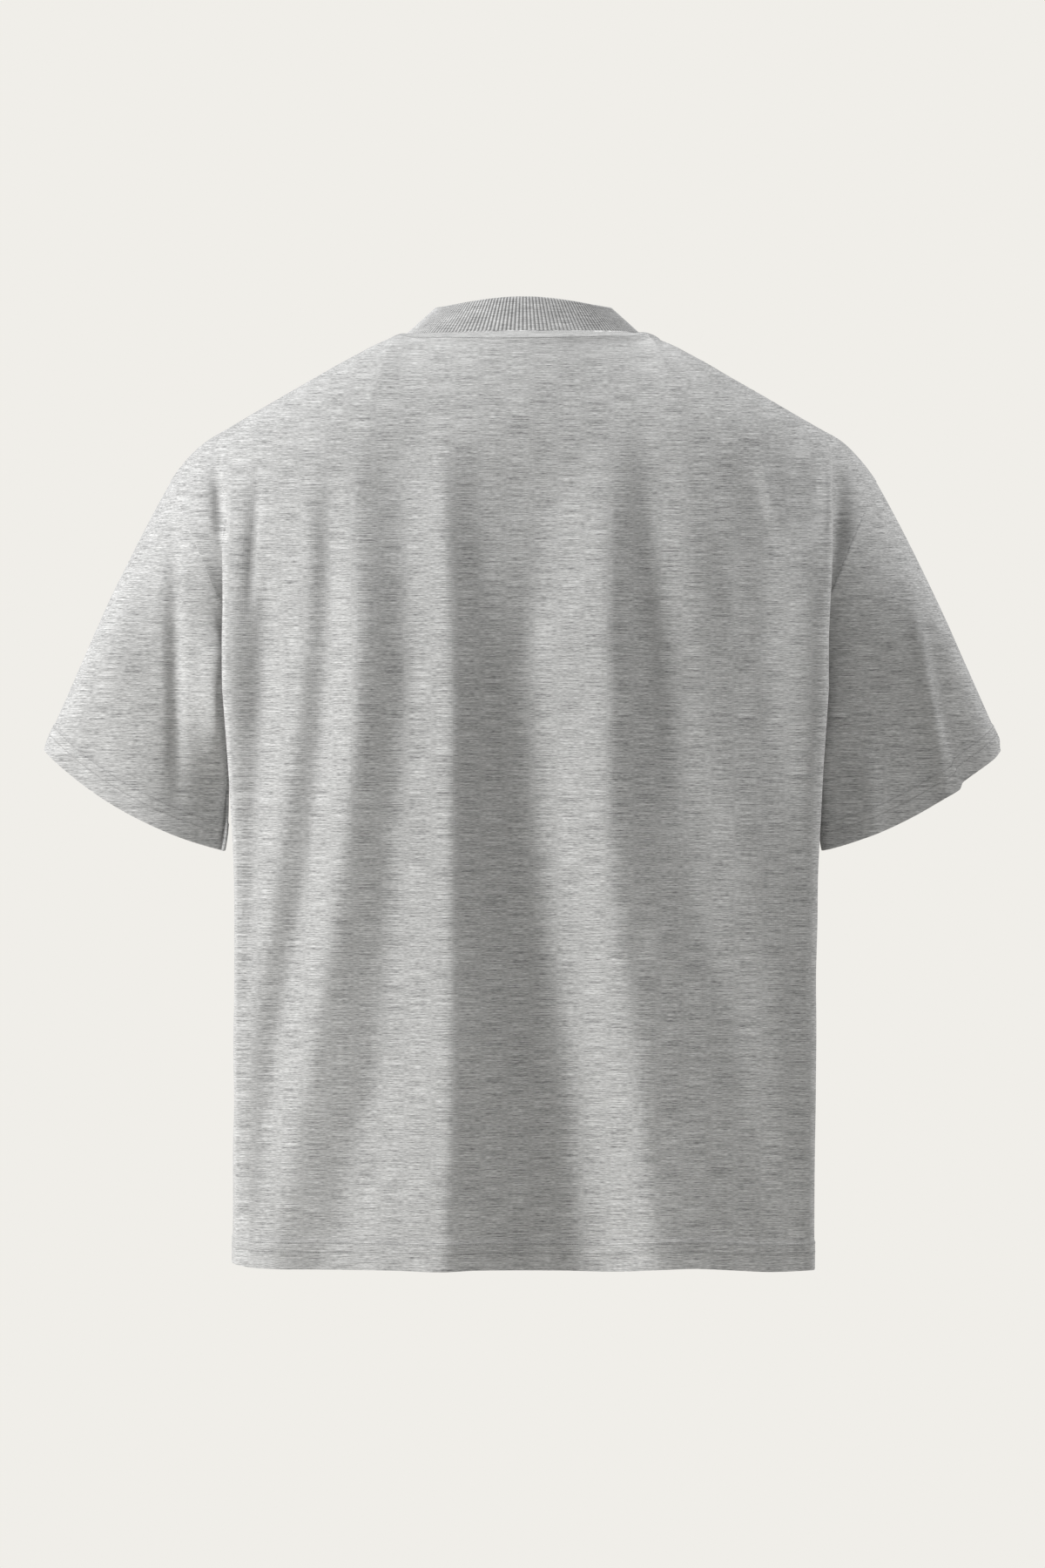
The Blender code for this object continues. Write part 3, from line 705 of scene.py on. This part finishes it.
FRONT_HEM_DIPS = (
    (-224, 1.0), (-200, 0.6), (-160, 0.4), (-110, 1.4), (-60, 0.4), (-10, -0.4), (40, 0.8),
    (90, 1.8), (140, 0.6), (185, -0.4), (224, -3.6),
)
front_cloth, front_points, front_marks = add_panel(
    "front_panel", -1, FRONT_SECTIONS, FRONT_FOLDS, FRONT_CREASES, FRONT_HEM_DIPS, 23)

# ------------------------------
# Sleeves: short wide tubes of the same jersey, set onto the dropped armhole seam, with a 20 mm
# turned hem held by two needle rows. They hang down from the shoulder, creased by the arm's swing.
# ------------------------------
CUFF_OUTER = (sleeve_high.x, -316.0)
CUFF_INNER = (229.8, sleeve_low.z)
CUFF_DEPTHS = (52.0, 70.0)  # how far the hem ring reaches behind and before its middle line
CUFF_FORWARD = 3.0
CUFF_DIPS = (11.0, 4.0)  # how far the ring hangs below that line behind and before
CUFF_FLATNESS = 3.0  # 0 is an oval hem ring, more is flatter front and back
CUFF_YAW = 26.0  # how far the ring's outer end lies forward of its middle
CUFF_KINK = {1: (0.0, 0.0), -1: (1.2, 3.2)}  # the right hem steps down and up where a fold crosses
CUFF_KINK_PLACES = (0.24, 0.42, 0.49, 0.95)
CUFF_TURN = {1: 1.2, -1: 3.2}  # how far the hem's outer corner is rounded off
CUFF_CORNER = (0.85, 1.0)
CUFF_CORNER_HEIGHT = 10.0
SLEEVE_FULLNESS = (28.0, 80.0)  # how much the tube swells on its upper and its lower side
SLEEVE_FLATTENS = (0.0, 0.6)  # shares of the length over which the round tube turns flat
SEAM_OVERLAP = 0.9  # how far the sleeve's edge reaches under the panels
SEAM_CALM_LENGTHS = (2.0, 14.0)  # distances from the seam over which its creases start
SEAM_ROLL = {1: 0.0, -1: 1.2}  # the right seam is pulled into a fine ridge behind
SEAM_ROLL_PLACE = 1.8
SEAM_ROLL_WIDTH = 1.3
SEAM_ROLL_FACING = (0.3, 0.8)  # how far back on the ring that ridge comes in
CREASE_FACING = (0.03, 0.40)  # how far round from the edges creases come in, and swells
SWELL_FACING = (0.0, 0.6)
SWELL_START = 0.08  # share of the length over which swells begin
SLEEVE_SEED = 31

# Creases on each sleeve's back half (1) and front half (-1), in the columns of BACK_CREASES
LEFT_SLEEVE_CREASES = {
    1: (
        (269, -120, 266, -330, 6.0, -2.6),
        (266, -200, 265, -365, 7.0, -2.2),
        (300, -150, 318, -290, 16.0, 1.4),
    ),
    -1: (
        (282, -150, 300, -300, 12.0, -2.6),
        (262, -180, 262, -330, 9.0, 2.2),
        (320, -210, 336, -300, 12.0, 1.6),
    ),
}
RIGHT_SLEEVE_CREASES = {
    1: (
        (-296, -190, -327, -372, 6.0, 3.2),
        (-279, -118, -281, -156, 2.6, -1.5),
        (-273, -120, -276, -156, 2.6, 1.6),
        (-264, -310, -268, -400, 9.0, 3.0),
    ),
    -1: (
        (-282, -150, -300, -300, 11.0, -2.2),
        (-262, -190, -266, -330, 10.0, 2.0),
        (-318, -200, -334, -300, 12.0, 1.4),
    ),
}
# Broad swells and hollows of the back half beside the body, which stand straight back
LEFT_SLEEVE_SWELLS = (
    (227, -218, 229, -330, 17.0, 13.0),
    (222, -290, 212, -480, 48.0, -32.0),
)
RIGHT_SLEEVE_SWELLS = (
    (-240, -300, -236, -420, 14.0, -4.0),
)


def flattened(value, flatness):
    """A sine or cosine eased towards its ends, which turns an oval into a flatter loop."""
    return (1 + flatness) * value / (1 + flatness * np.abs(value))


# Mesh lines round a sleeve: even across its flat back and front, and round its two edges
face_lines = np.linspace(0.95, -0.95, 77)
face_lines = np.arccos(face_lines / (1 + CUFF_FLATNESS * (1 - np.abs(face_lines)))) / np.pi
edge_lines = np.linspace(0.0, face_lines[0], 14)[:-1]
half_lines = np.concatenate([edge_lines, face_lines, 1 - edge_lines[::-1]])
sleeve_lines = np.concatenate([-half_lines[:0:-1], half_lines])
# Mesh lines down it: closer beside the seam and in the turned hem
sleeve_rows = np.unique(
    np.concatenate([[0.0, 0.004, 0.012], np.linspace(0.02, 0.86, 70), np.linspace(0.86, 1.0, 24)]))


def sleeve_form(side, swells):
    """A sleeve before its creases: its points, and how far back and out each lies in the ring."""
    middle = (np.array(CUFF_OUTER) + np.array(CUFF_INNER)) / 2
    half = (np.array(CUFF_OUTER) - np.array(CUFF_INNER)) / 2
    down = np.array([half[1], -half[0]]) / math.hypot(half[0], half[1])
    run, rise = SHOULDER_TIP[0] - UNDERARM[0], SHOULDER_TIP[1] - UNDERARM[1]
    axis = np.array([side * rise, 0.0, -run]) / math.hypot(run, rise)
    u, v = np.meshgrid(sleeve_lines, sleeve_rows)
    angle = -side * np.pi * u
    start = np.stack(armhole_point(angle, side), axis=-1) - axis * SEAM_OVERLAP
    around = flattened(np.sin(angle), CUFF_FLATNESS)
    outer = flattened(np.cos(angle), CUFF_FLATNESS)

    # The hem ring
    dip = np.where(around > 0, *CUFF_DIPS) * (1 - outer**2)
    lowered, raised = CUFF_KINK[side]
    first, second, third, last = CUFF_KINK_PLACES
    kink = lowered * ramp(outer, first, second) - raised * ramp(outer, second, third)
    dip += kink * (1 - ramp(outer, third, last))
    end = np.stack([
        side * (middle[0] + half[0] * outer + down[0] * dip),
        np.where(around > 0, *CUFF_DEPTHS) * around - CUFF_FORWARD - CUFF_YAW * outer,
        middle[1] + half[1] * outer + down[1] * dip,
    ], axis=-1)

    # From the armhole to the ring the tube fills out and turns flat
    boxy = ramp(v, *SLEEVE_FLATTENS) - v
    plump = (outer - np.cos(angle)) * boxy
    deepened = CUFF_DEPTHS[0] * (around - np.sin(angle)) * boxy
    squared = np.stack([side * half[0] * plump, deepened, half[1] * plump], axis=-1)
    under = (1 - np.cos(angle)) / 2
    fullness = SLEEVE_FULLNESS[0] * (1 - under) + SLEEVE_FULLNESS[1] * under
    swell = (fullness * v * (1 - v) ** 2)[..., None] * axis
    plain = start + (end - start) * v[..., None] + swell + squared
    back = np.sin(angle)
    stands = crease_offset(plain[..., 0], plain[..., 2], swells) * ramp(back, *SWELL_FACING)
    plain[..., 1] += stands * ramp(v, 0.0, SWELL_START)
    return plain, back, around, outer


def sleeve_cloth(side, creases, swells):
    """A sleeve's finished points, and their distances from the hem."""
    plain, back, around, outer = sleeve_form(side, swells)
    from_seam = path_lengths(plain, 0)
    from_hem = from_seam[-1] - from_seam
    out = drift(plain[..., 0], plain[..., 2], SLEEVE_SEED + side) * np.abs(around)
    for half_of_sleeve, lines in creases.items():
        facing = ramp(half_of_sleeve * back, *CREASE_FACING)
        out += crease_offset(plain[..., 0], plain[..., 2], lines) * facing
    out *= ramp(from_seam, *SEAM_CALM_LENGTHS)
    out += HEM_RISE * (1 - ramp(from_hem, HEM_DEPTH, HEM_DEPTH + HEM_EDGE[0]))
    out -= 2 * SEAM_TUCK[0] * (1 - ramp(from_seam, 0.0, SEAM_TUCK[1]))
    roll = np.exp(-(((from_seam - SEAM_ROLL_PLACE) / SEAM_ROLL_WIDTH) ** 2))
    out += SEAM_ROLL[side] * roll * ramp(around, *SEAM_ROLL_FACING)
    near_hem = 1 - ramp(from_hem, 0.0, CUFF_CORNER_HEIGHT)
    out -= CUFF_TURN[side] * ramp(outer, *CUFF_CORNER) * near_hem
    points = plain + surface_normals(plain, True) * out[..., None]
    points[:, -1] = points[:, 0]
    return points, {"from_hem": from_hem}


def add_sleeve(name, side, creases, swells):
    """Adds a sleeve, and gives its finished points and hem distances."""
    points, marks = sleeve_cloth(side, creases, swells)
    doubled = 1 - ramp(marks["from_hem"], HEM_DEPTH, HEM_DEPTH + HEM_EDGE[1])
    jersey = heather_jersey(name + "_jersey", {"from_hem": (HEM_PULL_AND_SHADE, HEM_ROWS)})
    up = points[..., 2] - HEM_Z
    sleeve = add_cloth(
        name + "_cloth", points, course_lengths(points), up, marks, doubled, jersey,
        closed_round=True)
    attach(sleeve, "root")
    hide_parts(name)
    return points, marks


left_points, left_marks = add_sleeve("sleeve_left", 1, LEFT_SLEEVE_CREASES, LEFT_SLEEVE_SWELLS)
right_points, right_marks = add_sleeve(
    "sleeve_right", -1, RIGHT_SLEEVE_CREASES, RIGHT_SLEEVE_SWELLS)

# ------------------------------
# Neck rib: a band of 1 by 1 rib knit in the same yarn, folded double and sewn into the neckline.
# It stands up 27 mm and leans in to the neck. Its ribs are 2.5 mm apart and wrap over the fold.
# ------------------------------
rib_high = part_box("neck_rib")[1] / MM

COLLAR_HALF_WIDTH = 67.0
COLLAR_BACK = 52.0
COLLAR_FRONT = 60.0
COLLAR_BACK_RISE = 7.0
COLLAR_SIDE_Z = rib_high.z - COLLAR_BACK_RISE
COLLAR_FRONT_DROP = 58.0
RIB_WALL = 2.8
RIB_COUNT = 176
RIB_LINES = 6  # mesh lines to a rib
RIB_PITCH = 2.5
RIB_DEPTH = 0.45
RIB_LOOPS = 1.2  # height of its knitted loops
RIB_SUNK = 0.13  # share of the height by which the band reaches down behind the panels
RIB_TURN = 0.94  # share of the height at which its fold begins to turn


def collar_point(angle, back):
    """The collar's upper edge at an angle from the wearer's side."""
    side = np.cos(angle)
    away = np.abs(np.sin(angle))
    y = np.where(back, COLLAR_BACK, -COLLAR_FRONT) * away
    rise = np.where(back, COLLAR_BACK_RISE * away**3, -COLLAR_FRONT_DROP * away**DROP_POWER)
    return COLLAR_HALF_WIDTH * side, y, COLLAR_SIDE_Z + rise


# The band's profile from the outer seam over the fold and down inside: share of the height, and
# share of the wall inwards
turn_steps = np.linspace(0.0, np.pi, 9)[1:-1]
outside = np.linspace(-RIB_SUNK, RIB_TURN, 15)
inside = np.linspace(RIB_TURN, -RIB_SUNK, 11)
profile_up = np.concatenate([
    outside, RIB_TURN + (1 - RIB_TURN) * np.sin(turn_steps), inside, [-RIB_SUNK]])
profile_in = np.concatenate([
    np.zeros(len(outside)), (1 - np.cos(turn_steps)) / 2, np.ones(len(inside)), [0.0]])
band_angles = np.pi * 2 * np.linspace(0.0, 1.0, RIB_COUNT * RIB_LINES + 1)


def rib_band():
    """The band's finished points, and how many ribs along it each one lies."""
    angle, up = np.meshgrid(band_angles, profile_up)
    inwards = np.meshgrid(band_angles, profile_in)[1]
    back = np.sin(angle) > 0
    low = np.stack(neck_point(angle, back), axis=-1)
    high = np.stack(collar_point(angle, back), axis=-1)
    middle = (low + high) / 2
    around = np.roll(middle[:, :-1], -1, axis=1) - np.roll(middle[:, :-1], 1, axis=1)
    around = np.concatenate([around, around[:, :1]], axis=1)
    normal = np.cross(around, high - low)
    normal /= np.linalg.norm(normal, axis=-1, keepdims=True)
    ribs = angle / (2 * np.pi) * RIB_COUNT
    groove = np.abs(np.cos(np.pi * ribs)) ** 3
    depth = RIB_DEPTH * groove * (1 - 2 * inwards)
    plain = low + (high - low) * up[..., None]
    return plain - normal * (inwards * RIB_WALL + depth)[..., None], ribs


# Rib knit from the heather yarn: light standing wales and sunk ones between them, painted darker as
# shade in the grooves, a faint painted shade along the knitted loops, and the same fibre streaks
# along the courses.
def rib_knit(name):
    material, tree, surface = new_material(name)
    knit = add_node(tree, "ShaderNodeUVMap", {}, uv_map="knit")
    streaks = heather_streaks(tree, knit)
    parts = add_node(tree, "ShaderNodeSeparateXYZ", {"Vector": knit})
    wave = loop_wave(tree, parts.outputs["X"], RIB_PITCH, "COSINE")
    sunk = add_node(tree, "ShaderNodeMath", {0: wave, 1: 0.5, 2: 0.5}, operation="MULTIPLY_ADD")
    groove = add_node(tree, "ShaderNodeMath", {0: sunk, 1: 1.6}, operation="POWER")
    loops = loop_wave(tree, parts.outputs["Y"], RIB_LOOPS)
    colour = add_node(tree, "ShaderNodeValToRGB", {"Fac": streaks})
    stops = colour.color_ramp.elements
    stops[0].position, stops[0].color = 0.15, linear("#8F8F8F")
    stops[1].position, stops[1].color = 0.88, linear("#ECECEB")
    # painted shade: darker in the grooves between the ribs, and faintly along the knitted loops
    between = add_node(
        tree, "ShaderNodeMath", {0: groove, 1: -0.45, 2: 1.05}, operation="MULTIPLY_ADD")
    course = add_node(
        tree, "ShaderNodeMath", {0: loops, 1: 0.06, 2: 0.94}, operation="MULTIPLY_ADD")
    shade = add_node(tree, "ShaderNodeMath", {0: between, 1: course}, operation="MULTIPLY")
    tinted = add_node(tree, "ShaderNodeVectorMath", {0: colour, "Scale": shade}, operation="SCALE")
    ribs = add_node(tree, "ShaderNodeMath", {0: groove, 1: -0.8}, operation="MULTIPLY")
    relief = add_node(tree, "ShaderNodeMath", {0: loops, 1: 0.3, 2: ribs}, operation="MULTIPLY_ADD")
    bump = add_node(tree, "ShaderNodeBump", {"Height": relief, "Strength": 0.5, "Distance": 0.0005})
    fuzz = add_node(
        tree, "ShaderNodeMath", {0: streaks, 1: -0.10, 2: 0.95}, operation="MULTIPLY_ADD")
    connect(tree, surface, {
        "Base Color": tinted, "Normal": bump, "Roughness": fuzz,
        "Specular IOR Level": 0.25, "Sheen Weight": 0.10, "Sheen Roughness": 0.6})
    return material


rib_points, ribs_along = rib_band()
band = knit_grid(rib_points, ribs_along * RIB_PITCH, path_lengths(rib_points, 0))
bmesh.ops.remove_doubles(band, verts=band.verts, dist=MERGE / 2 * MM)
bmesh.ops.recalc_face_normals(band, faces=band.faces)
neck_rib = add_mesh("neck_rib_knit", band, rib_knit("neck_rib_knit_1x1"))
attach(neck_rib, "root")
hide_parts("neck_rib")

# ------------------------------
# Stitching: grey polyester thread. A single row holds the neck seam allowance down all round, and
# twin-needle rows hold the hems of the body and sleeves, each stitch lying on the cloth.
# ------------------------------
STITCH_LENGTH = 1.25
STITCH_PITCH = 1.9
STITCH_LIFT = 0.04
THREAD = 0.4


# Spun polyester: a fine twist that breaks the light, with a slight shine along each stitch.
def sewing_thread(name):
    material, tree, surface = new_material(name)
    place = add_node(tree, "ShaderNodeTexCoord", {}).outputs["Object"]
    twist = add_node(tree, "ShaderNodeTexNoise", {"Vector": place, "Scale": 900.0, "Detail": 2.0})
    colour = add_node(tree, "ShaderNodeMix", {
        0: twist, 6: linear("#969696"), 7: linear("#D0D0CF")}, data_type="RGBA")
    bump = add_node(tree, "ShaderNodeBump", {"Height": twist, "Strength": 0.3, "Distance": 0.0002})
    connect(tree, surface, {"Base Color": colour.outputs[2], "Normal": bump, "Roughness": 0.6})
    return material


thread = sewing_thread("polyester_thread")


def row_at(points, distances, wanted):
    """The line at one distance from a seam or hem: its points and the cloth's normals."""
    both = np.concatenate([points, surface_normals(points)], axis=-1)
    line = []
    for place in range(points.shape[1]):
        reach = distances[:, place]
        if reach.min() <= wanted <= reach.max():
            order = np.argsort(reach)
            line.append([
                np.interp(wanted, reach[order], both[order, place, axis]) for axis in range(6)])
    return np.array(line)[:, :3], np.array(line)[:, 3:]


def stitch_shape():
    """One stitch, a rounded length of thread along Z: its points and its faces."""
    form = bmesh.new()
    bmesh.ops.create_uvsphere(form, u_segments=6, v_segments=4, radius=0.5)
    bmesh.ops.scale(form, verts=form.verts, vec=(THREAD, THREAD, STITCH_LENGTH))
    form.verts.ensure_lookup_table()
    points = np.array([vert.co for vert in form.verts])
    faces = [[vert.index for vert in face.verts] for face in form.faces]
    form.free()
    return points, faces


STITCH_POINTS, STITCH_FACES = stitch_shape()


def stitch_row(line, ups):
    """Stitches end to end along a line, each half sunk in the cloth, as one array of points."""
    steps = np.linalg.norm(np.diff(line, axis=0), axis=-1)
    reach = np.concatenate([[0.0], np.cumsum(steps)])
    middle = np.arange(STITCH_PITCH, reach[-1] - STITCH_PITCH, STITCH_PITCH)

    def read(values, at):
        return np.stack([np.interp(at, reach, values[:, axis]) for axis in range(3)], axis=-1)

    along = read(line, middle + STITCH_LENGTH / 2) - read(line, middle - STITCH_LENGTH / 2)
    along /= np.linalg.norm(along, axis=-1, keepdims=True)
    side = np.cross(read(ups, middle), along)
    side /= np.linalg.norm(side, axis=-1, keepdims=True)
    up = np.cross(along, side)
    turned = np.stack([side, up, along], axis=1)
    return (read(line, middle) + up * STITCH_LIFT)[:, None, :] + STITCH_POINTS @ turned


def add_stitches(name, rows):
    """All the stitches of some rows as one mesh."""
    points = np.concatenate([stitch_row(line, ups) for line, ups in rows])
    count = len(STITCH_POINTS)
    faces = [
        [place * count + corner for corner in face]
        for place in range(len(points)) for face in STITCH_FACES
    ]
    mesh = bpy.data.meshes.new(name)
    mesh.from_pydata((points.reshape(-1, 3) * MM).tolist(), [], faces)
    mesh.shade_smooth()
    mesh.materials.append(thread)
    made = add_object(name, mesh)
    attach(made, "root")


for node, points, marks in (
        ("back_panel", back_points, back_marks), ("front_panel", front_points, front_marks),
        ("sleeve_left", left_points, left_marks), ("sleeve_right", right_points, right_marks)):
    rows = [row_at(points, marks["from_hem"], height) for height in HEM_ROWS]
    add_stitches(node + "_hem_stitches", rows)
    if "from_neck" in marks:
        upper = slice(len(points) // 2, None)
        row = row_at(points[upper], marks["from_neck"][upper], NECK_ROW)
        add_stitches(node + "_neck_stitches", [row])

# ------------------------------
# Studio: a plain pale floor well below the hem, one broad soft light from the wearer's back left,
# a weak reflector on the other side, a little fill all round, and the camera straight behind.
# ------------------------------
FLOOR_DROP = 0.75
FLOOR_RADIUS = 2.2
CAMERA_DISTANCE = 12.0
FRAME_HEIGHT = 1.206  # seen from top to bottom at the shirt
FRAME_CENTRE = (0.0007, -0.3430)
PALE = linear("#F0EEE9")
FILL_STRENGTH = 0.295
KEY = (408.0, 1.5, 71.0, 28.0, 6.0)  # power, size, angle from straight behind, angle up, distance
REFLECTOR = (27.0, 1.0, -95.0, 45.0, 2.2)

# Matt floor paint: pale and even, so that it only catches the shirt's faint shade
floor_paint, _, floor_surface = new_material("matt_floor_paint")
floor_surface.inputs["Base Color"].default_value = PALE
floor_surface.inputs["Roughness"].default_value = 0.9
ground = bmesh.new()
bmesh.ops.create_circle(ground, cap_ends=True, segments=96, radius=FLOOR_RADIUS)
bmesh.ops.translate(ground, verts=ground.verts, vec=(0.0, 0.0, CAD_BOX[0][2] - FLOOR_DROP))
floor = add_mesh("floor", ground, floor_paint)

world = bpy.data.worlds.new("studio")
bpy.context.scene.world = world
world.use_nodes = True
sky = world.node_tree
sky.nodes.clear()
seen = add_node(sky, "ShaderNodeBackground", {"Color": PALE, "Strength": 1.0})
fill = add_node(sky, "ShaderNodeBackground", {
    "Color": linear("#FFFFFF"), "Strength": FILL_STRENGTH})
path = add_node(sky, "ShaderNodeLightPath", {})
mixed = add_node(sky, "ShaderNodeMixShader", {0: path.outputs["Is Camera Ray"], 1: fill, 2: seen})
add_node(sky, "ShaderNodeOutputWorld", {"Surface": mixed})


def soft_light(name, power, size, turned, raised, distance):
    """A round soft light that shines on the middle of the shirt."""
    lamp = bpy.data.lights.new(name, "AREA")
    lamp.shape = "DISK"
    lamp.size = size
    lamp.energy = power
    light = add_object(name, lamp)
    azimuth, elevation = math.radians(turned), math.radians(raised)
    light.location = (
        distance * math.cos(elevation) * math.sin(azimuth),
        distance * math.cos(elevation) * math.cos(azimuth),
        FRAME_CENTRE[1] + distance * math.sin(elevation),
    )
    light.rotation_euler = (math.pi / 2 - elevation, 0.0, math.pi - azimuth)


soft_light("key", *KEY)
soft_light("reflector", *REFLECTOR)

view = bpy.data.cameras.new("camera")
view.sensor_width = 36.0
view.lens = view.sensor_width * CAMERA_DISTANCE / FRAME_HEIGHT
view.clip_end = 100.0
camera = add_object("camera", view)
camera.location = (FRAME_CENTRE[0], CAMERA_DISTANCE, FRAME_CENTRE[1])
camera.rotation_euler = (math.pi / 2, 0.0, math.pi)
bpy.context.scene.camera = camera
bpy.context.scene.view_settings.view_transform = "Standard"
bpy.context.scene.view_settings.look = "None"
